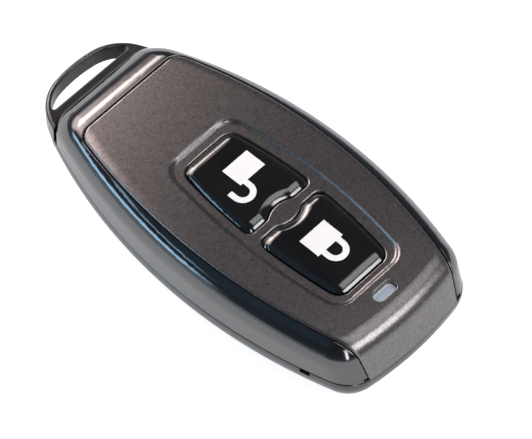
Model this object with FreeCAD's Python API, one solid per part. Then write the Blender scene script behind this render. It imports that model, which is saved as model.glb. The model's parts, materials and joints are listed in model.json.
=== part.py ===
"""Two-button key fob: smart lock remote control, in millimetres.

+Y points at the key loop, -Y at the nose with the indicator, +Z at the buttons.
The origin is the middle of the footprint, on the surface that the fob rests on.
"""
import FreeCAD, Part
import math
import os

V = FreeCAD.Vector
UP = V(0, 0, 1)
SIDES = (-1, 1)

# Overall sizes
overall_length = 59.6
overall_width = 29.2
overall_height = 11.2
seam_height = 4.6            # the case parts at this height, where it is widest

# Case outline, seen from above
side_radius = 75.0
side_middle_y = -4.55        # the widest place
nose_radius = 50.0
nose_corner = 4.6
loop_radius = 20.0
loop_corner = 6.8

# Upper half of the case
crown_long_radius = 320.0
crown_cross_radius = 400.0
crown_middle_y = -0.3
crown_back_angle = 10.0      # degrees of arc, well past the nose
side_lean = 0.03             # set-back per unit of height
nose_lean = 0.36
shoulder_radius = 3.4
frame_end_y = 25.2
frame_end_corner = 3.6
bridge_start_y = 19.7        # the crown runs into the round of the bridge here
bridge_radius = 7.0
bridge_angle = 80.0          # degrees of arc, well past the end of the frame

# Lower half of the case
belly_radius = 4.0
ramp_start_y = 13.25
ramp_radius = 19.5
loop_underside = 4.4
loop_top = 7.15
loop_edge_radius = 0.45
slot_edge_y = 26.27
slot_band = 0.75
slot_corner = 0.35
slot_edge_radius = 0.22
strip_edge_radius = 0.2      # beside the end of the frame
loop_arm_y = 24.25           # the loop's arms end here, beside the frame's corners
seam_chamfer = 0.12          # leaves a fine groove all round the case
corner_notch_width = 0.7
corner_notch_height = 0.55
corner_notch_depth = 1.1
pry_notch_y = -22.35
pry_notch_length = 1.4
pry_notch_height = 0.8
pry_notch_depth = 0.6

# Walls and named clearances
frame_wall = 1.8
cover_wall = 1.5
floor_wall = 1.2
seam_gap = 0.08              # between the matte cover and the gloss frame
part_gap = 0.05              # between halves of the case
lip_gap = 0.1
button_gap = 0.16
slide_gap = 0.1
lay_gap = 0.02               # between parts that only rest on each other

# Matte panel of the front cover
panel_side_radius = 80.0
panel_half_width = 12.13
panel_middle_y = -3.6
panel_end_y = 19.65
panel_corner = 2.2
panel_edge_radius = 0.4
frame_edge_radius = 0.15

# Button group
opening_half_width = 5.67
opening_middle_y = -7.45
opening_ring_y = 6.19
opening_nose_y = -20.88
opening_corner = 1.9
opening_inner_corner = 1.1   # beside the web
recess_half_width = 7.15     # to the middle of the sloping side wall
recess_ring_y = 7.67
recess_nose_y = -22.02
recess_corner = 3.0
recess_depth = 0.43
recess_slope = 0.65          # run of the side wall at 45 degrees, its end above the skin
recess_edge_radius = 0.4
opening_edge_radius = 0.22
web_width = 1.4
web_y = -7.35
eye_length = 6.1
eye_width = 2.9
eye_blend = 1.5
button_proud = 0.05          # the top of a button over the crown of the panel
dome_radius = 2.2            # of the round that runs along a button's rim
dome_rim_tilt = 40.0         # degrees, where the round meets the rim
flange_margin = 0.5
flange_thickness = 0.6
stem_radius = 1.5

# Indicator
window_y = -24.05
window_length = 3.6
window_width = 1.7
lens_gap = 0.05
lens_depth = 0.7
lens_flange = 0.5
window_edge_radius = 0.12

# Inner lip, board and its posts
lip_thickness = 0.8
lip_height = 1.1
ledge_width = 1.1
ledge_thickness = 0.95
board_thickness = 1.0
board_bottom = 5.0
board_gap = 0.2
board_end_y = 21.25
post_places = ((6.6, 14.85), (7.4, -19.75))
post_radius = 1.3
column_radius = 1.0
pin_radius = 0.5
pin_gap = 0.1
pin_height = 1.4

# Key switches
switch_side = 5.2
switch_height = 1.25
switch_lid_thickness = 0.15
switch_well_radius = 1.9
switch_well_depth = 0.85
plunger_radius = 1.0
plunger_foot_radius = 1.35
plunger_foot_thickness = 0.25
plunger_rise = 0.6
snap_radius = 1.75
snap_height = 0.25
snap_thickness = 0.06
leg_width = 0.6
leg_length = 0.9
leg_thickness = 0.2

# Coin cell and its contacts
cell_radius = 10.0
cell_height = 3.2
cell_y = -5.75
can_wall = 0.25
gasket_width = 0.9
cap_rise = 0.25
cradle_wall = 0.8
cradle_height = 2.0
cradle_gap = 0.3
strap_thickness = 0.3
strap_width = 5.0
strap_foot = 1.2

# Parts on the board
chip_size = (4.9, 3.9, 1.5)
chip_place = (-2.6, 11.85)
chip_leg_pitch = 1.27
radio_size = (3.0, 3.0, 1.0)
radio_place = (3.1, 11.45)
resonator_size = (5.0, 3.2, 1.2)
resonator_place = (1.8, 16.85)
led_size = (3.0, 1.5, 0.8)
chip_part_size = (1.6, 0.8, 0.45)
resistor_places = ((-3.6, 16.65), (-3.6, 18.25), (6.2, 9.45), (6.2, 11.05))
capacitor_places = ((0.2, 8.85), (2.6, 8.85), (-7.4, 9.45), (-7.4, 11.05))
wire_diameter = 0.8
wire_height = 1.0
wire_places = ((9.6, 3.25), (9.6, 12.25), (7.0, 20.25))

# Derived heights and places
nose_y = -overall_length / 2
loop_y = overall_length / 2
half_width = overall_width / 2
board_top = board_bottom + board_thickness
cell_bottom = floor_wall + strap_thickness
high = overall_height + 5.0
crown_axis = V(0, crown_middle_y, overall_height - crown_long_radius)
bridge_start_angle = math.degrees(math.asin((bridge_start_y - crown_middle_y) / crown_long_radius))
button_middles = {"unlock": (opening_ring_y + web_y + web_width / 2) / 2,
                  "lock": (opening_nose_y + web_y - web_width / 2) / 2}

parts = {}


def box(low, size):
    return Part.makeBox(size[0], size[1], size[2], V(*low))


def centred_box(place, size, bottom):
    low = (place[0] - size[0] / 2, place[1] - size[1] / 2, bottom)
    return box(low, size)


def rod(radius, height, x, y, z):
    return Part.makeCylinder(radius, height, V(x, y, z))


def fuse(solids):
    whole = solids[0]
    for solid in solids[1:]:
        whole = whole.fuse(solid)
    return whole.removeSplitter()


def largest(shape):
    return max(shape.Solids, key=lambda solid: solid.Volume)


def steep_edges(solid, wanted):
    """Edges that run up the wall, at the corners that wanted(y) picks."""
    found = []
    for edge in solid.Edges:
        ends = [vertex.Point for vertex in edge.Vertexes]
        rise = abs(ends[0].z - ends[-1].z)
        if rise > 0.8 * edge.Length and wanted(edge.CenterOfMass.y):
            found.append(edge)
    return found


def tapered_disc(radius, lean, x, y, bottom, top):
    """Disc with the given radius at the seam, narrower above it by lean."""
    low = radius - lean * (bottom - seam_height)
    high_radius = radius - lean * (top - seam_height)
    if lean:
        return Part.makeCone(low, high_radius, top - bottom, V(x, y, bottom))
    return rod(radius, top - bottom, x, y, bottom)


def barrel(width, middle_y, inset, bottom, top, lean=0.0, radius=side_radius):
    """The space between the two long arcs of an outline."""
    reach = radius - width
    right = tapered_disc(radius - inset, lean, -reach, middle_y, bottom, top)
    left = tapered_disc(radius - inset, lean, reach, middle_y, bottom, top)
    return right.common(left)


def behind(y, inset, bottom, top):
    """Everything on the nose side of a straight end wall."""
    return box((-40, y - inset - 100, bottom), (80, 100, top - bottom))


def slab(bottom, top):
    """Everything between two heights."""
    return box((-40, -60, bottom), (80, 120, top - bottom))


def in_front(y, inset, bottom, top):
    """Everything on the ring side of a straight end wall."""
    return box((-40, y + inset, bottom), (80, 100, top - bottom))


def nose_disc(inset, bottom, top, lean=0.0):
    return tapered_disc(nose_radius - inset, lean, 0, nose_y + nose_radius, bottom, top)


def case_block(inset, bottom, top):
    """Prism with the outline of the whole fob, key loop included."""
    solid = barrel(half_width, side_middle_y, inset, bottom, top)
    solid = solid.common(nose_disc(inset, bottom, top))
    centre_y = loop_y - loop_radius
    arch = rod(loop_radius - inset, top - bottom, 0, centre_y, bottom)
    solid = solid.common(fuse([arch, behind(centre_y, 0, bottom, top)]))
    solid = solid.makeFillet(loop_corner - inset, steep_edges(solid, lambda y: y > 20))
    return solid.makeFillet(nose_corner - inset, steep_edges(solid, lambda y: y < -20))


def upper_block(inset, bottom, top):
    """Leaning walls of the upper half, with a straight end at the key loop."""
    solid = barrel(half_width, side_middle_y, inset, bottom, top, side_lean)
    solid = solid.common(nose_disc(inset, bottom, top, nose_lean))
    solid = solid.common(behind(frame_end_y, inset, bottom, top))

    solid = solid.makeFillet(frame_end_corner, steep_edges(solid, lambda y: y > 20))
    return solid.makeFillet(nose_corner - inset, steep_edges(solid, lambda y: y < -20))


def arch_face(depth, foot_z):
    """Cross section under the arched top, between the skin inset by depth and foot_z."""
    reach = 30.0
    top_z = overall_height - depth
    radius = crown_cross_radius - depth
    drop = radius - math.sqrt(radius ** 2 - reach ** 2)
    left, right = V(-reach, 0, top_z - drop), V(reach, 0, top_z - drop)
    arch = Part.Arc(left, V(0, 0, top_z), right).toShape()
    foot = [V(reach, 0, foot_z), V(-reach, 0, foot_z)]
    sides = [Part.LineSegment(a, b).toShape() for a, b in ((right, foot[0]), foot, (foot[1], left))]
    face = Part.Face(Part.Wire([arch] + sides))
    face.translate(V(0, crown_middle_y, 0))
    return face


def crown(depth, end_angle=10.0):
    """Everything under the arched top, which lies depth below the outer skin."""
    face = arch_face(depth, -5.0)
    face.rotate(crown_axis, V(1, 0, 0), -end_angle)
    return face.revolve(crown_axis, V(1, 0, 0), end_angle + crown_back_angle)


def roof(depth):
    """Everything under the top skin: the crown, then the round of the bridge."""
    face = arch_face(depth, overall_height - bridge_radius + 0.2)
    centre = V(0, crown_middle_y, overall_height - bridge_radius)
    turn = FreeCAD.Placement(V(0, 0, 0), FreeCAD.Rotation(V(1, 0, 0), -bridge_start_angle), crown_axis)
    face.rotate(crown_axis, V(1, 0, 0), -bridge_start_angle)
    centre = turn.multVec(centre)
    bridge = face.revolve(centre, V(1, 0, 0), -bridge_angle)
    return crown(depth, bridge_start_angle).fuse(bridge)


def crown_height(x, y):
    """Height of the outer skin of the arched top."""
    drop_x = crown_cross_radius - math.sqrt(crown_cross_radius ** 2 - x ** 2)
    drop_y = crown_long_radius - math.sqrt(crown_long_radius ** 2 - (y - crown_middle_y) ** 2)
    return overall_height - drop_x - drop_y


def upper_body(inset, bottom):
    """Solid form of the upper half, its skin inset below the outer one."""
    solid = upper_block(inset, bottom, high).common(roof(inset)).Solids[0]
    tops = [face for face in solid.Faces if is_top(face)]
    edges = [edge for face in tops for edge in face.Edges]
    rims = [edge for edge in edges if sum(edge.isSame(other) for other in edges) == 1]
    return solid.makeFillet(shoulder_radius - inset, rims)


def is_top(face):
    """True for the arched faces of the roof."""
    u0, u1, v0, v1 = face.ParameterRange
    return face.normalAt((u0 + u1) / 2, (v0 + v1) / 2).z > 0.6


def panel_block(inset, bottom, top):
    """Prism with the outline of the matte panel, open at the nose."""
    solid = barrel(panel_half_width, panel_middle_y, inset, bottom, top, radius=panel_side_radius)
    solid = solid.common(behind(panel_end_y, inset, bottom, top))
    corners = steep_edges(solid, lambda y: y > 15)
    solid = solid.makeFillet(panel_corner - inset, corners)
    return solid


def recess_tool(bottom, top):
    """What the sunk field round both buttons leaves free, with its sloping side wall."""
    outset = recess_slope - recess_depth / 2
    solid = barrel(recess_half_width + outset, opening_middle_y, 0, bottom, top)
    solid = solid.common(behind(recess_ring_y, -outset, bottom, top))
    solid = solid.common(in_front(recess_nose_y, -outset, bottom, top))
    solid = solid.makeFillet(recess_corner, steep_edges(solid, lambda y: True))
    solid = solid.cut(crown(recess_depth))
    floor = min(solid.Faces, key=lambda face: face.CenterOfMass.z)
    return solid.makeChamfer(recess_slope, floor.Edges)


def web_block(outset, bottom, top, blend=eye_blend):
    """Bar between the two openings, with a pointed eye in its middle."""
    width = web_width + 2 * outset
    bar = box((-15, web_y - width / 2, bottom), (30, width, top - bottom))
    eye_radius = (eye_length ** 2 + eye_width ** 2) / (4 * eye_width) + outset
    reach = eye_radius - eye_width / 2 - outset
    eye = rod(eye_radius, top - bottom, 0, web_y - reach, bottom)
    eye = eye.common(rod(eye_radius, top - bottom, 0, web_y + reach, bottom))
    web = fuse([bar, eye])
    inner = [edge for edge in steep_edges(web, lambda y: True) if abs(edge.CenterOfMass.x) < eye_length]
    return web.makeFillet(blend, inner)


def opening_block(name, inset, bottom, top):
    """The opening of one button, set inwards by inset."""
    corners = (opening_inner_corner - inset, opening_corner - inset)
    return button_block(name, inset, bottom, top, corners, eye_blend)


def button_block(name, inset, bottom, top, corners, blend):
    """Prism inside the barrel outline on one side of the web, with its corners beside the web first."""
    solid = barrel(opening_half_width, opening_middle_y, inset, bottom, top)
    solid = solid.common(behind(opening_ring_y, inset, bottom, top))
    solid = solid.common(in_front(opening_nose_y, inset, bottom, top))
    halves = solid.cut(web_block(inset, bottom - 1, top + 1, blend)).Solids
    wanted = max if name == "unlock" else min
    half = wanted(halves, key=lambda piece: piece.CenterOfMass.y)
    outer = [edge for edge in steep_edges(half, lambda y: True) if abs(edge.CenterOfMass.x) > 3.6]
    for beside_web, radius in zip((True, False), corners):
        picked = [edge for edge in outer if (abs(edge.CenterOfMass.y - web_y) < 3.0) == beside_web]
        half = half.makeFillet(radius, picked)
    return half


def obround(length, width, x, y, bottom, top):
    """Slot-shaped bar, long along X."""
    reach = (length - width) / 2
    ends = [rod(width / 2, top - bottom, x + side * reach, y, bottom) for side in SIDES]
    middle = box((x - reach, y - width / 2, bottom), (2 * reach, width, top - bottom))
    return fuse(ends + [middle])


def edge_points(edge):
    first, last = edge.ParameterRange
    return [edge.valueAt(first + share * (last - first)) for share in (0.0, 0.5, 1.0)]


def wall_edges(solid, block, low, top=high):
    """Edges of solid between two heights that run along the side walls of block."""
    walls = [face for face in block.Faces if is_wall(face)]
    found = []
    for edge in solid.Edges:
        points = edge_points(edge)
        level = abs(points[0].z - points[2].z) < 0.97 * edge.Length
        within = all(low < point.z < top for point in points)
        if level and within and all(on_walls(walls, point) for point in points):
            found.append(edge)
    return found


def slope_edges(solid, tool):
    """Edges of solid along the sloping faces that the tool left in it."""
    slopes = [face for face in tool.Faces if not is_wall(face) and not is_top(face) and not is_floor(face)]
    return [edge for edge in solid.Edges if all(on_walls(slopes, point) for point in edge_points(edge))
            and edge.Length > 0.8]


def is_floor(face):
    u0, u1, v0, v1 = face.ParameterRange
    return face.normalAt((u0 + u1) / 2, (v0 + v1) / 2).z < -0.9


def on_walls(walls, point):
    vertex = Part.Vertex(point)
    return any(face.distToShape(vertex)[0] < 0.02 for face in walls)


def is_wall(face):
    u0, u1, v0, v1 = face.ParameterRange
    return abs(face.normalAt((u0 + u1) / 2, (v0 + v1) / 2).z) < 0.05


def rounded(solid, radius, edges):
    """Fillet the edges, with a smaller radius where the full one doesn't fit."""
    for share in (1.0, 0.7, 0.45):
        try:
            result = solid.makeFillet(share * radius, edges)
        except Part.OCCError:
            continue
        if result.isValid():
            return result
    print("left sharp:", len(edges), "edges at", edges[0].CenterOfMass)
    return solid


def seam_edges(solid):
    """Outer edges of a half of the case, where it meets the other half."""
    low, top = seam_height - 0.01, seam_height + 0.01
    return wall_edges(solid, case_block(0, 0, high), low, top)


def post_spots():
    return [(side * x, y) for x, y in post_places for side in SIDES]


def under_ramp(offset, top):
    """What the rising underside at the key loop leaves free."""
    radius = ramp_radius - offset
    block = box((-20, ramp_start_y, -1), (40, 30, top + 1))
    roller = Part.makeCylinder(radius, 60, V(-30, ramp_start_y, ramp_radius), V(1, 0, 0))
    return block.cut(roller)


def key_loop(frame_room):
    """Ring in front of the frame, with its slot still to be cut."""
    ring_block = case_block(0, loop_underside - 1, loop_top)
    top = max(ring_block.Faces, key=lambda face: face.CenterOfMass.z)
    ring_block = ring_block.makeFillet(loop_edge_radius, top.Edges)
    ring_block = ring_block.common(in_front(loop_arm_y, 0, 0, high))
    return ring_block.cut(frame_room)


def key_slot():
    slot = case_block(slot_band, -1, high).common(in_front(slot_edge_y, 0, -1, high))
    return slot.makeFillet(slot_corner, steep_edges(slot, lambda y: y < slot_edge_y + 1.0))


def strip_edges(body, frame_room):
    """Edges on top of the key loop, where it hugs the end of the frame."""
    return [edge for edge in body.Edges if edge.Length > 0.5
            and all(abs(point.z - loop_top) < 0.01 and on_walls(frame_room.Faces, point)
                    for point in edge_points(edge))]


def lower_skin():
    """Solid form of the lower half, with the key loop and its slot."""
    frame_room = upper_body(-part_gap, seam_height)
    body = case_block(0, 0, seam_height)
    bottom = min(body.Faces, key=lambda face: face.CenterOfMass.z)
    body = body.makeFillet(belly_radius, bottom.Edges)
    body = fuse([body, key_loop(frame_room)]).cut(under_ramp(0, loop_underside))
    slot = key_slot()
    body = body.cut(slot)
    body = rounded(body, slot_edge_radius, wall_edges(body, slot, loop_underside - 1))
    body = rounded(body, strip_edge_radius, strip_edges(body, frame_room))
    return body.makeChamfer(seam_chamfer, seam_edges(body))


def pry_notch():
    """Shallow pocket at the seam, where a coin can twist the halves apart."""
    middle_y = pry_notch_y
    x = -outline_x(middle_y)
    size = (2 * pry_notch_depth, pry_notch_length, pry_notch_height)
    notch = centred_box((x, middle_y), size, seam_height - pry_notch_height)
    return notch.makeFillet(0.25, steep_edges(notch, lambda y: True))


def outline_x(y):
    """Half width of the case at the seam."""
    return half_width - side_radius + math.sqrt(side_radius ** 2 - (y - side_middle_y) ** 2)


def lower_shell():
    shell = lower_skin().cut(pry_notch())
    inner = frame_wall + lip_gap + lip_thickness
    lip = upper_block(frame_wall + lip_gap, seam_height - 0.5, seam_height + lip_height)
    lip = lip.common(behind(frame_end_y, frame_wall + lip_gap, 0, high))
    cavity = upper_block(inner, floor_wall, seam_height + 3).cut(under_ramp(floor_wall, seam_height))
    shell = shell.fuse(lip).cut(cavity)
    posts = []
    for x, y in post_spots():
        posts.append(rod(post_radius, board_bottom - floor_wall + 0.2, x, y, floor_wall - 0.2))
        posts.append(rod(pin_radius, board_top + pin_height - floor_wall, x, y, floor_wall))
    return fuse([shell, cell_cradle()] + posts)


def cell_cradle():
    """Low ring wall round the coin cell, open on four sides."""
    cradle = rod(cell_radius + cradle_gap + cradle_wall, cradle_height + 0.2, 0, cell_y, floor_wall - 0.2)
    cradle = cradle.cut(rod(cell_radius + cradle_gap, 9, 0, cell_y, floor_wall - 1))
    for turn in (0, 90):
        gap = centred_box((0, 0), (40, 2 * strap_width, 9), floor_wall - 1)
        gap.rotate(V(0, 0, 0), UP, turn)
        gap.translate(V(0, cell_y, 0))
        cradle = cradle.cut(gap)
    return cradle


def upper_shell():
    return upper_body(0, seam_height)


def front_cover(skin):
    field = recess_tool(6, high)
    cover = largest(skin.common(panel_block(seam_gap / 2, 0, high)))
    cover = cover.cut(field)
    cover = cover.cut(upper_body(cover_wall, seam_height - 0.2))
    rims = wall_edges(cover, panel_block(seam_gap / 2, 0, high), seam_height + 0.1)
    cover = rounded(cover, panel_edge_radius, [edge for edge in rims if is_outside(edge)])
    cover = rounded(cover, recess_edge_radius, slope_edges(cover, field))
    for name in button_middles:
        opening = opening_block(name, 0, 6, high)
        cover = cover.cut(opening)
        rims = wall_edges(cover, opening, overall_height - cover_wall + 0.2)
        cover = rounded(cover, opening_edge_radius, rims)
    window = obround(window_length, window_width, 0, window_y, 6, high)
    cover = cover.cut(window)
    rims = wall_edges(cover, window, crown_height(0, window_y) - 0.3)
    cover = rounded(cover, window_edge_radius, rims)
    columns = []
    for x, y in post_spots():
        column = rod(column_radius, high, x, y, board_top + part_gap).common(crown(cover_wall - 0.3))
        columns.append(column.cut(rod(pin_radius + pin_gap, pin_height + 0.4, x, y, board_top)))
    return fuse([cover] + columns)


def gloss_frame(skin):
    frame = skin.cut(panel_block(-seam_gap / 2, 0, high))
    frame = frame.cut(upper_body(frame_wall, seam_height - 0.2))
    band = panel_block(-0.8, 5, high).cut(panel_block(ledge_width, 4, high + 1))
    band = band.common(in_front(nose_y + nose_corner, 0, 5, high))
    under = upper_body(cover_wall + part_gap, seam_height)
    ledge = band.common(under).cut(crown(cover_wall + part_gap + ledge_thickness))
    frame = fuse([frame, ledge])
    rims = wall_edges(frame, panel_block(-seam_gap / 2, 0, high), seam_height + 0.1)
    frame = rounded(frame, frame_edge_radius, [edge for edge in rims if is_outside(edge)])
    frame = frame.makeChamfer(seam_chamfer, seam_edges(frame))
    for side in SIDES:
        frame = largest(frame.cut(corner_notch(side)))
    return frame


def corner_notch(side):
    """Small gap at the foot of a frame arm, where it meets the nose of the cover."""
    x = panel_x(nose_y + 1.0) + corner_notch_width / 2
    size = (corner_notch_width, 2 * corner_notch_depth, corner_notch_height)
    return centred_box((side * x, nose_y), size, seam_height)


def panel_x(y):
    """Half width of the matte panel."""
    return panel_half_width - panel_side_radius + math.sqrt(panel_side_radius ** 2 - (y - panel_middle_y) ** 2)


def is_outside(edge):
    """True for an edge on the outer skin, false for one on the inner face."""
    point = edge_points(edge)[1]
    roof = crown_height(point.x, point.y) - 0.3
    depth = point.y - nose_y - nose_lean * (point.z - seam_height)
    return point.z > roof or depth < 1.2


def button(name):
    cap = opening_block(name, button_gap, 6, high).common(button_dome(name)).Solids[0]
    flange_top = flange_height(name)
    cap = cap.cut(slab(0, flange_top - 0.2))
    flange = opening_block(name, -flange_margin, flange_top - flange_thickness, flange_top)
    middle = button_middles[name]
    foot = board_top + switch_height + plunger_rise
    stem = rod(stem_radius, flange_top - foot, 0, middle, foot)
    return fuse([cap, flange, stem])


def button_dome(name):
    """Rounded block, wider than the button, so that its round is cut off at the rim."""
    margin = dome_radius * (1 - math.sin(math.radians(dome_rim_tilt)))
    corner = dome_radius + 0.15
    block = button_block(name, button_gap - margin, 6, high, (corner, corner), corner)
    block = block.common(crown(-button_proud)).Solids[0]
    top = max(block.Faces, key=lambda face: face.CenterOfMass.z)
    return block.makeFillet(dome_radius, top.Edges)


def flange_height(name):
    """Top of a button's flange, just under the lowest place of the cover's ceiling."""
    end_y = opening_ring_y if name == "unlock" else opening_nose_y
    corner_height = crown_height(opening_half_width + flange_margin, end_y)
    return corner_height - cover_wall - slide_gap


def light_pipe():
    ceiling = crown_height(window_length / 2 + lens_flange, window_y - window_width) - cover_wall
    top = crown_height(0, window_y) - lens_depth
    bottom = board_top + led_size[2] + slide_gap
    shaft = obround(window_length - 2 * lens_gap, window_width - 2 * lens_gap, 0, window_y, bottom, top)
    flange = obround(window_length + 2 * lens_flange, window_width + 2 * lens_flange, 0, window_y,
                     ceiling - lens_flange - part_gap, ceiling - part_gap)
    return fuse([shaft, flange])


def circuit_board():
    inset = frame_wall + lip_gap + lip_thickness + board_gap
    board = upper_block(inset, board_bottom, board_top)
    board = board.common(behind(board_end_y, 0, board_bottom, board_top))
    board = board.makeFillet(2.0, steep_edges(board, lambda y: y > board_end_y - 0.5))
    for x, y in post_spots():
        board = board.cut(rod(pin_radius + pin_gap, 9, x, y, 0))
    return board


def key_switch(name):
    """One key switch, as its base, lid, plunger, snap dome and four legs."""
    place = (0, button_middles[name])
    body_top = board_top + switch_height - switch_lid_thickness
    base = centred_box(place, (switch_side, switch_side, body_top - board_top), board_top)
    well_bottom = body_top - switch_well_depth
    base = base.cut(rod(switch_well_radius, 9, 0, place[1], well_bottom))
    lid = centred_box(place, (switch_side, switch_side, switch_lid_thickness), body_top)
    lid = lid.cut(rod(plunger_radius + slide_gap, 9, 0, place[1], board_top))
    foot_top = body_top - lay_gap
    foot_bottom = foot_top - plunger_foot_thickness
    plunger = fuse([
        rod(plunger_radius, board_top + switch_height + plunger_rise - foot_bottom, 0, place[1], foot_bottom),
        rod(plunger_foot_radius, plunger_foot_thickness, 0, place[1], foot_bottom)])
    dome = snap_dome(place[1], well_bottom)
    legs = []
    for side in SIDES:
        for end in SIDES:
            spot = (side * (switch_side / 2 + leg_length / 2), place[1] + end * switch_side / 3)
            legs.append(centred_box(spot, (leg_length, leg_width, leg_thickness), board_top))
    return {"switch_base": base, "switch_lid": lid, "switch_plunger": plunger,
            "snap_dome": dome, "switch_legs": Part.makeCompound(legs)}


def snap_dome(y, bottom):
    """Thin spherical cap that clicks and pushes the plunger back."""
    sphere_radius = (snap_radius ** 2 + snap_height ** 2) / (2 * snap_height)
    centre = V(0, y, bottom + snap_height - sphere_radius)
    shell = Part.makeSphere(sphere_radius, centre)
    shell = shell.cut(Part.makeSphere(sphere_radius - snap_thickness, centre))
    return shell.common(rod(snap_radius + 1, 9, 0, y, bottom)).Solids[0]


def ring(profile, y, bottom):
    """Turned part from its half section, given as (radius, height) points."""
    points = [V(r, 0, z) for r, z in profile]
    face = Part.Face(Part.makePolygon(points + points[:1]))
    solid = face.revolve(V(0, 0, 0), UP, 360)
    solid.translate(V(0, y, bottom))
    return solid


def coin_cell():
    rim = cell_height - cap_rise
    crimp = 0.35
    can = ring([(0, 0), (cell_radius, 0), (cell_radius, rim - crimp), (cell_radius - crimp, rim),
                (cell_radius - can_wall - crimp, rim), (cell_radius - can_wall, rim - crimp),
                (cell_radius - can_wall, can_wall), (0, can_wall)], cell_y, cell_bottom)
    cap_radius = cell_radius - can_wall - gasket_width
    gasket = ring([(cap_radius, can_wall), (cell_radius - can_wall, can_wall),
                   (cell_radius - can_wall, rim - crimp), (cell_radius - can_wall - crimp, rim),
                   (cap_radius, rim)], cell_y, cell_bottom)
    cap = ring([(0, can_wall), (cap_radius, can_wall), (cap_radius, rim),
                (cap_radius - cap_rise, cell_height), (0, cell_height)], cell_y, cell_bottom)
    return {"coin_cell_can": can, "coin_cell_gasket": gasket, "coin_cell_cap": cap}


def battery_strap():
    """Spring strap under the cell, soldered to the board on both sides."""
    inner = cell_radius + cradle_gap
    outer = inner + strap_thickness
    span = centred_box((0, cell_y), (2 * outer, strap_width, strap_thickness), floor_wall)
    pieces = [span]
    for side in SIDES:
        leg_x = side * (inner + outer) / 2
        leg = (strap_thickness, strap_width, board_bottom - floor_wall)
        pieces.append(centred_box((leg_x, cell_y), leg, floor_wall))
        foot = (strap_foot, strap_width, strap_thickness)
        foot_x = side * (outer + strap_foot / 2 - strap_thickness)
        pieces.append(centred_box((foot_x, cell_y), foot, board_bottom - strap_thickness))
    return fuse(pieces)


def battery_contact():
    """Stamped plate on the board's underside, bowed down onto the cell's cap."""
    cell_top = cell_bottom + cell_height
    room = board_bottom - cell_top
    half = room / 2
    return ring([(0, 0), (1.2, 0), (2.6, half), (4.5, half), (4.5, room), (2.2, room), (1.0, half), (0, half)],
                cell_y, cell_top)


def rounded_path(points, radius):
    """Wire through the points, with a tangent arc at each inner one."""
    edges = []
    start = points[0]
    for before, corner, after in zip(points, points[1:], points[2:]):
        to_before = (before - corner).normalize()
        to_after = (after - corner).normalize()
        half_turn = to_before.getAngle(to_after) / 2
        reach = radius / math.tan(half_turn)
        bisector = (to_before + to_after).normalize()
        middle = corner + bisector * (radius / math.sin(half_turn) - radius)
        first = corner + to_before * reach
        last = corner + to_after * reach
        edges.append(Part.LineSegment(start, first).toShape())
        edges.append(Part.Arc(first, middle, last).toShape())
        start = last
    edges.append(Part.LineSegment(start, points[-1]).toShape())
    return Part.Wire(edges)


def antenna_wire():
    """Wire loop that stands on the board and follows its ring end."""
    level = board_top + wire_height + wire_diameter / 2
    foot = board_top
    right = [V(x, y, level) for x, y in wire_places]
    left = [V(-point.x, point.y, point.z) for point in reversed(right)]
    foot_x, foot_y = wire_places[0]
    route = [V(foot_x, foot_y, foot)] + right + left + [V(-foot_x, foot_y, foot)]
    path = rounded_path(route, wire_diameter)
    section = Part.Wire(Part.makeCircle(wire_diameter / 2, route[0], UP))
    return path.makePipeShell([section], True, False)


def chip(size, place, legs_a_side, pitch):
    """Moulded chip and its gull-wing legs, as two solids groups."""
    stand = 0.1
    body = centred_box(place, size, board_top + stand)
    body = body.makeChamfer(0.15, [edge for edge in body.Edges if edge.BoundBox.ZMin > board_top + size[2] - 0.1])
    legs = []
    for side in SIDES:
        for index in range(legs_a_side):
            y = place[1] + (index - (legs_a_side - 1) / 2) * pitch
            spot = (place[0] + side * (size[0] / 2 + 0.4), y)
            legs.append(centred_box(spot, (0.8, 0.4, 0.45), board_top))
    return body, Part.makeCompound(legs)


def chip_parts(places):
    return Part.makeCompound([centred_box(place, chip_part_size, board_top) for place in places])


def resonator():
    """Metal-lidded ceramic package."""
    length, width, height = resonator_size
    base = centred_box(resonator_place, (length, width, height * 0.6), board_top)
    lid = centred_box(resonator_place, (length - 0.6, width - 0.6, height * 0.4), board_top + height * 0.6)
    return fuse([base, lid])


def indicator_led():
    length, width, height = led_size
    base = centred_box((0, window_y), (length, width, height / 2), board_top)
    lens = centred_box((0, window_y), (length * 0.6, width, height / 2), board_top + height / 2)
    return fuse([base, lens])


def build():
    skin = upper_shell()
    parts["lower_shell"] = lower_shell()
    parts["gloss_frame"] = gloss_frame(skin)
    parts["front_cover"] = front_cover(skin)
    parts["light_pipe"] = light_pipe()
    parts["circuit_board"] = circuit_board()
    for name in button_middles:
        parts[name + "_button"] = button(name)
        for piece, shape in key_switch(name).items():
            parts[name + "_" + piece] = shape
    parts.update(coin_cell())
    parts["battery_strap"] = battery_strap()
    parts["battery_contact"] = battery_contact()
    parts["antenna_wire"] = antenna_wire()
    parts["encoder_chip"], parts["encoder_chip_legs"] = chip(chip_size, chip_place, 4, chip_leg_pitch)
    parts["radio_chip"], parts["radio_chip_legs"] = chip(radio_size, radio_place, 3, 0.95)
    parts["resonator"] = resonator()
    parts["indicator_led"] = indicator_led()
    parts["chip_resistors"] = chip_parts(resistor_places)
    parts["chip_capacitors"] = chip_parts(capacitor_places)


def save():
    os.makedirs("parts", exist_ok=True)
    for name, shape in parts.items():
        shape.exportStep("parts/" + name + ".step")
        print(name, len(shape.Solids), round(shape.Volume, 2), shape.isValid())


build()
save()
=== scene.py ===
import json
import math

import bpy
from mathutils import Matrix, Vector
from mathutils.bvhtree import BVHTree
from mathutils.geometry import delaunay_2d_cdt


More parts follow.
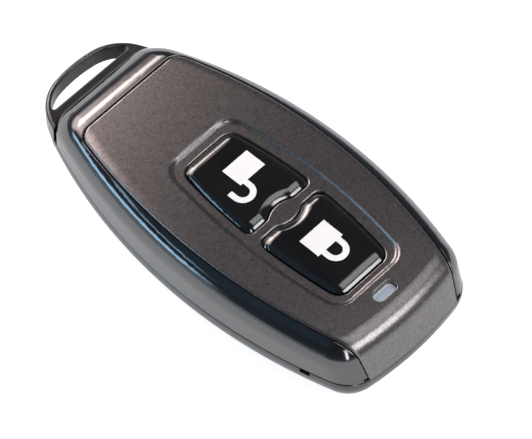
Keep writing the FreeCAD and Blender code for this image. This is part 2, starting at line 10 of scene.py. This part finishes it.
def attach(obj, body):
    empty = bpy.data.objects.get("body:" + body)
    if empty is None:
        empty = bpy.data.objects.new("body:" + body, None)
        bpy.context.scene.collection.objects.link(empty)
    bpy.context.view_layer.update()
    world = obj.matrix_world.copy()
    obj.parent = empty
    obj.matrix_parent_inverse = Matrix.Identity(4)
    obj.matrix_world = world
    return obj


MM = 0.001

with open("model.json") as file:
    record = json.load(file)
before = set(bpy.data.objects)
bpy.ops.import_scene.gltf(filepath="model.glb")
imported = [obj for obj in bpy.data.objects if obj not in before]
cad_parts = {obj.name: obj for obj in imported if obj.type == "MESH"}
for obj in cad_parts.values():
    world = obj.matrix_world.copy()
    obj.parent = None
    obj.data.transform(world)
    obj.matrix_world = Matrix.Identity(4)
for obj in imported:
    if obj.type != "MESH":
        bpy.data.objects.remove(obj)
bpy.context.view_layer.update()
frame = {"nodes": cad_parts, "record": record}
nodes = frame["nodes"]
scene = bpy.context.scene


# Materials

class Finish:
    """A procedural material, with short names for the nodes it is made of."""

    def __init__(self, name, **sockets):
        self.material = bpy.data.materials.new(name)
        self.material.use_nodes = True
        self.tree = self.material.node_tree
        self.shader = self.tree.nodes["Principled BSDF"]
        for socket, value in sockets.items():
            self.shader.inputs[socket.replace("_", " ")].default_value = value
        self.place = self.node("ShaderNodeTexCoord").outputs["Object"]

    def node(self, kind, **settings):
        made = self.tree.nodes.new(kind)
        for key, value in settings.items():
            setattr(made, key, value)
        return made

    def link(self, source, target):
        self.tree.links.new(source, target)

    def stretched(self, factors):
        """Object coordinates, each axis multiplied by its factor."""
        mapping = self.node("ShaderNodeMapping")
        mapping.inputs["Scale"].default_value = factors
        self.link(self.place, mapping.inputs["Vector"])
        return mapping.outputs["Vector"]

    def noise(self, size_mm, detail=3.0, place=None):
        """Noise with features of the given size."""
        made = self.node("ShaderNodeTexNoise")
        made.inputs["Scale"].default_value = 1 / (size_mm * MM)
        made.inputs["Detail"].default_value = detail
        self.link(place or self.place, made.inputs["Vector"])
        return made.outputs["Fac"]

    def flakes(self, size_mm, output="Color"):
        made = self.node("ShaderNodeTexVoronoi")
        made.inputs["Scale"].default_value = 1 / (size_mm * MM)
        self.link(self.place, made.inputs["Vector"])
        return made.outputs[output]

    def spread(self, value, low, high, start=0.3, end=0.7):
        """Value from start to end, turned into low to high."""
        made = self.node("ShaderNodeMapRange")
        for index, number in enumerate((start, end, low, high)):
            made.inputs[index + 1].default_value = number
        self.link(value, made.inputs["Value"])
        return made.outputs["Result"]

    def blend(self, share, dark, light):
        """Colour between two others, by share."""
        made = self.node("ShaderNodeMix", data_type="RGBA")
        made.inputs["A"].default_value = (*dark, 1)
        made.inputs["B"].default_value = (*light, 1)
        self.link(share, made.inputs["Factor"])
        return made.outputs["Result"]

    def maths(self, operation, first, second):
        """One arithmetic step; each operand is a socket or a number."""
        made = self.node("ShaderNodeMath", operation=operation)
        for socket, operand in zip(made.inputs, (first, second)):
            if isinstance(operand, (int, float)):
                socket.default_value = operand
            else:
                self.link(operand, socket)
        return made.outputs[0]

    def vector_maths(self, operation, vector, operand=None):
        """One step on a vector, with a constant as its operand."""
        made = self.node("ShaderNodeVectorMath", operation=operation)
        self.link(vector, made.inputs[0])
        if operand is not None:
            made.inputs[1].default_value = operand
        return made.outputs["Value" if operation == "LENGTH" else "Vector"]

    def colour(self, source):
        self.link(source, self.shader.inputs["Base Color"])

    def rough(self, source):
        self.link(source, self.shader.inputs["Roughness"])

    def bump(self, height, depth_mm, strength=1.0, under=None):
        made = self.node("ShaderNodeBump")
        made.inputs["Strength"].default_value = strength
        made.inputs["Distance"].default_value = depth_mm * MM
        self.link(height, made.inputs["Height"])
        if under:
            self.link(under, made.inputs["Normal"])
        self.link(made.outputs["Normal"], self.shader.inputs["Normal"])
        return made.outputs["Normal"]


def satin_case():
    """Fine spark-eroded grain of the lower half."""
    made = Finish("case_satin", IOR=1.6)
    made.colour(made.blend(made.spread(made.noise(6, 4), 0, 1), (0.012, 0.012, 0.013), (0.022, 0.022, 0.024)))
    made.rough(made.spread(made.noise(3, 5), 0.20, 0.28))
    made.bump(made.noise(0.12, 2), 0.0015, 0.6)
    return made.material


def gloss_black():
    """Polished moulding with faint flow waves and wiping marks."""
    made = Finish("gloss_black", IOR=2.0)
    made.colour(made.blend(made.spread(made.noise(8), 0, 1), (0.004, 0.005, 0.007), (0.008, 0.009, 0.012)))
    wipes = made.noise(1.2, 6, made.stretched((1.0, 0.15, 1.0)))
    made.rough(made.spread(wipes, 0.08, 0.12, 0.4, 0.75))
    made.bump(made.noise(7, 1), 0.006, 0.5)
    return made.material


def panel_brown():
    """Satin lacquer with a metallic flake, dark grey brown."""
    made = Finish("panel_brown", IOR=1.6, Metallic=0.85, Coat_Weight=0.4, Coat_Roughness=0.1)
    cells = made.spread(made.flakes(0.16), 0, 1, 0.0, 1.0)
    made.colour(made.blend(cells, (0.110, 0.102, 0.102), (0.213, 0.197, 0.198)))
    made.rough(made.spread(made.noise(0.6, 2), 0.26, 0.30))
    grain = made.bump(made.flakes(0.16, "Distance"), 0.004, 0.5)
    made.bump(made.noise(0.35, 3), 0.003, 0.5, grain)
    return made.material


def key_black():
    made = Finish("key_black", IOR=1.9)
    made.colour(made.blend(made.spread(made.noise(5), 0, 1), (0.004, 0.004, 0.005), (0.009, 0.009, 0.010)))
    made.rough(made.spread(made.noise(0.8, 6), 0.05, 0.08, 0.4, 0.75))
    made.bump(made.noise(2.6, 1), 0.006, 0.5)
    return made.material


LENS_Y = -24.05 * MM
LENS_HALF_STRAIGHT = 0.95 * MM


def clear_lens():
    """Milky light guide in its own pale blue, with a highlight painted into its colour: paler towards its
    edge.
    """
    made = Finish("clear_lens", IOR=1.49, Transmission_Weight=0.1)
    folded = made.vector_maths("ABSOLUTE", made.vector_maths("SUBTRACT", made.place, (0, LENS_Y, 0)))
    # The last 1 pushes the height below zero, so that only x and y count
    beyond = made.vector_maths("SUBTRACT", folded, (LENS_HALF_STRAIGHT, 0, 1))
    from_axis = made.vector_maths("LENGTH", made.vector_maths("MAXIMUM", beyond, (0, 0, 0)))
    # Painted highlight: the lens colour turns paler towards its edge
    rim_highlight = made.spread(from_axis, 0, 1, 0.35 * MM, 0.75 * MM)
    made.colour(made.blend(rim_highlight, (0.60, 0.71, 0.85), (0.96, 0.98, 1.0)))
    made.rough(made.spread(made.noise(0.4, 4), 0.08, 0.18))
    made.bump(made.noise(0.5, 3), 0.01, 0.5)
    return made.material


def plastic(name, dark, light, low, high, grain_mm=0.3, depth_mm=0.005):
    made = Finish(name, IOR=1.5)
    made.colour(made.blend(made.spread(made.noise(grain_mm * 8, 4), 0, 1), dark, light))
    made.rough(made.spread(made.noise(grain_mm * 3, 4), low, high))
    made.bump(made.noise(grain_mm, 3), depth_mm, 0.6)
    return made.material


def metal(name, dark, light, low, high, brushed=(1.0, 0.06, 1.0)):
    made = Finish(name, Metallic=1.0)
    lines = made.noise(0.15, 5, made.stretched(brushed))
    made.colour(made.blend(made.spread(lines, 0, 1), dark, light))
    made.rough(made.spread(lines, low, high))
    made.bump(lines, 0.004, 0.4)
    return made.material


def board_green():
    """Solder mask over copper tracks."""
    made = Finish("board_green", IOR=1.5)
    brick = made.node("ShaderNodeTexBrick", offset=0.5, squash=1.0)
    for socket, value in (("Scale", 1 / (1.6 * MM)), ("Mortar Size", 0.06),
                          ("Brick Width", 2.2), ("Row Height", 0.6),
                          ("Color1", (0.012, 0.13, 0.05, 1)), ("Color2", (0.014, 0.15, 0.055, 1)),
                          ("Mortar", (0.03, 0.24, 0.09, 1))):
        brick.inputs[socket].default_value = value
    made.link(made.place, brick.inputs["Vector"])
    made.colour(brick.outputs["Color"])
    made.rough(made.spread(made.noise(1.5, 4), 0.25, 0.4))
    made.bump(brick.outputs["Fac"], 0.02, 0.6)
    return made.material


def ink_white():
    """Pad-printed ink with a slightly uneven coat."""
    made = Finish("ink_white", IOR=1.5)
    made.colour(made.blend(made.spread(made.noise(0.6, 4), 0, 1), (0.92, 0.92, 0.93), (0.96, 0.96, 0.97)))
    made.rough(made.spread(made.noise(0.3, 4), 0.30, 0.42))
    made.bump(made.noise(0.08, 3), 0.002, 0.5)
    return made.material


STEEL = ((0.52, 0.52, 0.53), (0.68, 0.68, 0.69))
FINISHES = {
    "case_satin": satin_case(),
    "gloss_black": gloss_black(),
    "panel_brown": panel_brown(),
    "key_black": key_black(),
    "clear_lens": clear_lens(),
    "board_green": board_green(),
    "switch_body": plastic("switch_body", (0.018, 0.018, 0.02), (0.03, 0.03, 0.033), 0.4, 0.55),
    "switch_metal": metal("switch_metal", *STEEL, 0.22, 0.38),
    "plunger_white": plastic("plunger_white", (0.62, 0.6, 0.54), (0.72, 0.7, 0.64), 0.35, 0.5),
    "chip_black": plastic("chip_black", (0.02, 0.02, 0.022), (0.035, 0.035, 0.038), 0.5, 0.65, 0.15),
    "tin": metal("tin", (0.6, 0.6, 0.58), (0.75, 0.75, 0.73), 0.25, 0.45, (1.0, 1.0, 1.0)),
    "cell_steel": metal("cell_steel", *STEEL, 0.18, 0.32),
    "cell_gasket": plastic("cell_gasket", (0.05, 0.05, 0.055), (0.08, 0.08, 0.088), 0.45, 0.6),
    "spring_steel": metal("spring_steel", (0.5, 0.48, 0.44), (0.68, 0.66, 0.61), 0.2, 0.36, (0.06, 1.0, 1.0)),
    "wire_copper": metal("wire_copper", (0.5, 0.2, 0.08), (0.68, 0.32, 0.15), 0.2, 0.35),
    "led_clear": plastic("led_clear", (0.6, 0.57, 0.38), (0.72, 0.7, 0.5), 0.15, 0.3),
    "resistor_black": plastic("resistor_black", (0.03, 0.03, 0.035), (0.05, 0.05, 0.055), 0.4, 0.6, 0.1),
    "capacitor_tan": plastic("capacitor_tan", (0.36, 0.25, 0.14), (0.48, 0.35, 0.2), 0.4, 0.55, 0.1),
}
slot_of = {part["node"]: part["material_slot"] for part in frame["record"]["subparts"]}
for name, node in nodes.items():
    node.data.materials.clear()
    node.data.materials.append(FINISHES[slot_of[name]])
white_ink = ink_white()


# Printed pictograms

ICON_WIDTH = 4.4 * MM
ICON_HEIGHT = 3.15 * MM
SHACKLE_OUTER = 1.72 * MM
SHACKLE_INNER = 0.90 * MM
INK_ABOVE = 0.02 * MM
INK_BELOW = 0.02 * MM
INK_GRID = 0.15 * MM


def shackle(x, y, left_foot, right_foot):
    """Outline of a U that opens towards +Y, with its two ends at the given heights."""
    def arc(radius, start, end, steps=28):
        turns = [math.radians(start + (end - start) * i / steps) for i in range(steps + 1)]
        return [(x + radius * math.cos(t), y + radius * math.sin(t)) for t in turns]
    outer = arc(SHACKLE_OUTER, 180, 360)
    inner = arc(SHACKLE_INNER, 360, 180)
    return ([(x - SHACKLE_OUTER, left_foot)] + outer + [(x + SHACKLE_OUTER, right_foot)]
            + [(x + SHACKLE_INNER, right_foot)] + inner + [(x - SHACKLE_INNER, left_foot)])


def rectangle(x, y, width, height):
    return [(x - width / 2, y - height / 2), (x + width / 2, y - height / 2),
            (x + width / 2, y + height / 2), (x - width / 2, y + height / 2)]


def inside(point, outline):
    hit = False
    for (ax, ay), (bx, by) in zip(outline, outline[1:] + outline[:1]):
        if (ay > point[1]) != (by > point[1]):
            if point[0] < ax + (point[1] - ay) / (by - ay) * (bx - ax):
                hit = not hit
    return hit


def flat_mesh(outlines):
    """Triangles that fill the union of the outlines, fine enough to follow a crown."""
    points, edges = [], []
    for outline in outlines:
        start = len(points)
        points += outline
        edges += [(start + i, start + (i + 1) % len(outline)) for i in range(len(outline))]
    xs = [p[0] for p in points]
    ys = [p[1] for p in points]
    x = min(xs) + INK_GRID / 2
    while x < max(xs):
        y = min(ys) + INK_GRID / 2
        while y < max(ys):
            points.append((x, y))
            y += INK_GRID
        x += INK_GRID
    made = delaunay_2d_cdt([Vector(p) for p in points], edges, [], 0, 1e-7)
    vertices, faces = made[0], made[2]
    kept = []
    for face in faces:
        middle = [sum(vertices[i][axis] for i in face) / 3 for axis in (0, 1)]
        if any(inside(middle, outline) for outline in outlines):
            kept.append(tuple(face))
    return vertices, kept


def printed(name, outlines, button, body):
    """A thin coat of ink that lies on the button's crown."""
    vertices, faces = flat_mesh(outlines)
    used = sorted({i for face in faces for i in face})
    index = {old: new for new, old in enumerate(used)}
    faces = [tuple(index[i] for i in face) for face in faces]
    mesh = nodes[button].data
    tree = BVHTree.FromPolygons([v.co for v in mesh.vertices], [p.vertices for p in mesh.polygons])
    top = []
    for i in used:
        hit = tree.ray_cast(Vector((vertices[i].x, vertices[i].y, 0.1)), Vector((0, 0, -1)))[0]
        top.append(hit)
    count = len(top)
    points = [p + Vector((0, 0, INK_ABOVE)) for p in top] + [p - Vector((0, 0, INK_BELOW)) for p in top]
    sides = {}
    for face in faces:
        for a, b in zip(face, face[1:] + face[:1]):
            sides[(a, b)] = True
    rims = [(a, b) for a, b in sides if (b, a) not in sides]
    solid = list(faces) + [tuple(i + count for i in reversed(face)) for face in faces]
    solid += [(b, a, a + count, b + count) for a, b in rims]
    data = bpy.data.meshes.new(name)
    data.from_pydata(points, [], solid)
    data.update()
    data.materials.append(white_ink)
    piece = bpy.data.objects.new(name, data)
    scene.collection.objects.link(piece)
    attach(piece, body)
    return piece


LOCK = (0.05 * MM, -13.43 * MM)
OPEN = (1.09 * MM, 0.63 * MM)
LOCK_ARC = (0.1 * MM, -15.8 * MM)
OPEN_ARC = (-1.6 * MM, -1.75 * MM)
printed("closed_padlock_print", [rectangle(*LOCK, ICON_WIDTH, ICON_HEIGHT),
        shackle(*LOCK_ARC, LOCK[1], LOCK[1])], "lock_button", "lock_key")
printed("open_padlock_print", [rectangle(*OPEN, ICON_WIDTH, ICON_HEIGHT),
        shackle(*OPEN_ARC, -0.75 * MM, OPEN[1])], "unlock_button", "unlock_key")


# Stage

FLOOR_GLOW = 0.88
SHADE_HALF_WIDTH = 15 * MM
SHADE_HALF_LENGTH = 31 * MM


def floor():
    """White ground; reflections find it darker right under the object."""
    bpy.ops.mesh.primitive_circle_add(vertices=96, radius=3.0, fill_type="NGON", location=(0, 0, -0.02 * MM))
    made = bpy.context.object
    made.name = "floor"
    finish = Finish("floor_white", Roughness=0.8)
    finish.shader.inputs["Base Color"].default_value = (0.37, 0.40, 0.425, 1)
    path = finish.node("ShaderNodeLightPath").outputs
    seen = finish.maths("MAXIMUM", path["Is Camera Ray"], path["Is Glossy Ray"])
    seen = finish.maths("MAXIMUM", seen, path["Is Transmission Ray"])
    scaled = finish.stretched((1 / SHADE_HALF_WIDTH, 1 / SHADE_HALF_LENGTH, 0))
    shade = finish.spread(finish.vector_maths("LENGTH", scaled), 0.15, 1.0, 0.75, 1.1)
    open_air = finish.maths("MAXIMUM", shade, path["Is Camera Ray"])
    glow = finish.node("ShaderNodeEmission")
    finish.link(finish.maths("MULTIPLY", finish.maths("MULTIPLY", seen, FLOOR_GLOW), open_air),
                glow.inputs["Strength"])
    both = finish.node("ShaderNodeAddShader")
    finish.link(finish.shader.outputs[0], both.inputs[0])
    finish.link(glow.outputs[0], both.inputs[1])
    finish.link(both.outputs[0], finish.tree.nodes["Material Output"].inputs["Surface"])
    made.data.materials.append(finish.material)


def sky():
    """Soft room light: pale at the horizon, darker overhead."""
    world = bpy.data.worlds.new("room")
    world.use_nodes = True
    scene.world = world
    tree = world.node_tree
    back = tree.nodes["Background"]
    place = tree.nodes.new("ShaderNodeTexCoord")
    parts = tree.nodes.new("ShaderNodeSeparateXYZ")
    ramp = tree.nodes.new("ShaderNodeValToRGB")
    stops = ((0.0, 0.6), (0.06, 0.35), (0.2, 0.12), (0.6, 0.06), (1.0, 0.05))
    ramp.color_ramp.elements[0].position = stops[0][0]
    ramp.color_ramp.elements[1].position = stops[-1][0]
    for position, level in stops[1:-1]:
        ramp.color_ramp.elements.new(position)
    for element, (position, level) in zip(ramp.color_ramp.elements, stops):
        element.color = (level * 0.95, level, level * 1.1, 1)
    tree.links.new(place.outputs["Generated"], parts.inputs[0])
    tree.links.new(parts.outputs["Z"], ramp.inputs["Fac"])
    tree.links.new(ramp.outputs["Color"], back.inputs["Color"])


AIM = Vector((0, 0, 5 * MM))
AWAY = 0.9


def fade_edges(lamp, soft):
    """Dim a lamp towards its edges, over the given shares of its half width and half height."""
    lamp.use_nodes = True
    tree = lamp.node_tree
    spot = tree.nodes.new("ShaderNodeSeparateXYZ")
    place = tree.nodes.new("ShaderNodeNewGeometry").outputs["Parametric"]
    tree.links.new(place, spot.inputs[0])
    both = tree.nodes.new("ShaderNodeMath")
    both.operation = "MULTIPLY"
    for axis, share, factor in zip("XY", soft, both.inputs):
        from_edge = tree.nodes.new("ShaderNodeMath")
        from_edge.operation = "PINGPONG"
        from_edge.inputs[1].default_value = 0.5
        tree.links.new(spot.outputs[axis], from_edge.inputs[0])
        rise = tree.nodes.new("ShaderNodeMapRange")
        rise.interpolation_type = "SMOOTHSTEP"
        rise.inputs["From Max"].default_value = 0.5 * share
        tree.links.new(from_edge.outputs[0], rise.inputs["Value"])
        tree.links.new(rise.outputs["Result"], factor)
    tree.links.new(both.outputs[0], tree.nodes["Emission"].inputs["Strength"])


def softbox(name, direction, size, radiance, colour=(1, 1, 1), along=(1, 0, 0), soft=(0.5, 0.5)):
    """Flat lamp that faces the object from a direction, its width laid along a vector."""
    width, height = size
    lamp = bpy.data.lights.new(name, "AREA")
    lamp.shape = "RECTANGLE"
    lamp.size = width
    lamp.size_y = height
    lamp.energy = radiance * math.pi * width * height
    lamp.color = colour
    fade_edges(lamp, soft)
    made = bpy.data.objects.new(name, lamp)
    back = Vector(direction).normalized()
    side = Vector(along)
    side = (side - side.dot(back) * back).normalized()
    turned = Matrix((side, back.cross(side), back)).transposed().to_4x4()
    made.matrix_world = Matrix.Translation(AIM + back * AWAY) @ turned
    made.visible_camera = False
    scene.collection.objects.link(made)


WARM = (1.0, 0.93, 0.86)
ROSE = (1.0, 0.83, 0.82)
SKY_BLUE = (0.45, 0.74, 1.0)
DEEP_BLUE = (0.1, 0.55, 1.0)
PALE_BLUE = (0.70, 0.88, 1.0)
floor()
sky()
# Highlight over the nose and on the lock key's lower edge, with a weaker one behind it
softbox("front_window", (0.24, -0.72, 0.65), (0.62, 0.46), 7.0)
softbox("front_fill", (0.35, -0.18, 0.92), (0.52, 0.66), 2.0)
# Streak round the frame's corner beside the nose
softbox("corner_strip", (-0.42, -0.78, 0.45), (0.14, 0.8), 8.0, along=(0.88, -0.47, 0))
# Highlight along the bridge, and the warm sheen of the panel's ring end
softbox("ring_box", (0.22, 0.74, 0.567), (0.85, 0.24), 8.5, WARM, soft=(0.8, 0.8))
softbox("ring_glow", (0.05, 0.79, 0.57), (0.9, 0.75), 4.4, ROSE)
# Blue lines along the left side band
softbox("blue_tube_low", (-0.70, 0.63, 0.33), (0.85, 0.19), 5.6, SKY_BLUE, (0.63, 0.70, 0))
softbox("blue_tube_high", (-0.55, 0.54, 0.63), (0.6, 0.08), 3.0, SKY_BLUE, (0.54, 0.55, 0))
softbox("blue_room", (-0.50, 0.20, 0.80), (0.8, 0.8), 0.10, DEEP_BLUE)
softbox("left_card", (-0.88, 0.42, 0.12), (1.3, 0.22), 0.6, PALE_BLUE, (0.42, 0.88, 0))


# Camera

AZIMUTH = math.radians(-46.79)
ELEVATION = math.radians(55.3)
CAMERA_PLACE = Vector((-232.391, -222.507, 466.372)) * MM
camera_data = bpy.data.cameras.new("camera")
camera_data.lens = 304.5
camera_data.sensor_width = 36
camera_data.clip_start = 0.05
camera = bpy.data.objects.new("camera", camera_data)
back = Vector((math.sin(AZIMUTH) * math.cos(ELEVATION),
               -math.cos(AZIMUTH) * math.cos(ELEVATION),
               math.sin(ELEVATION)))
right = Vector((math.cos(AZIMUTH), math.sin(AZIMUTH), 0))
up = back.cross(right)
turn = Matrix((right, up, back)).transposed().to_4x4()
camera.matrix_world = Matrix.Translation(CAMERA_PLACE) @ turn
scene.collection.objects.link(camera)
scene.camera = camera
scene.view_settings.view_transform = "Standard"
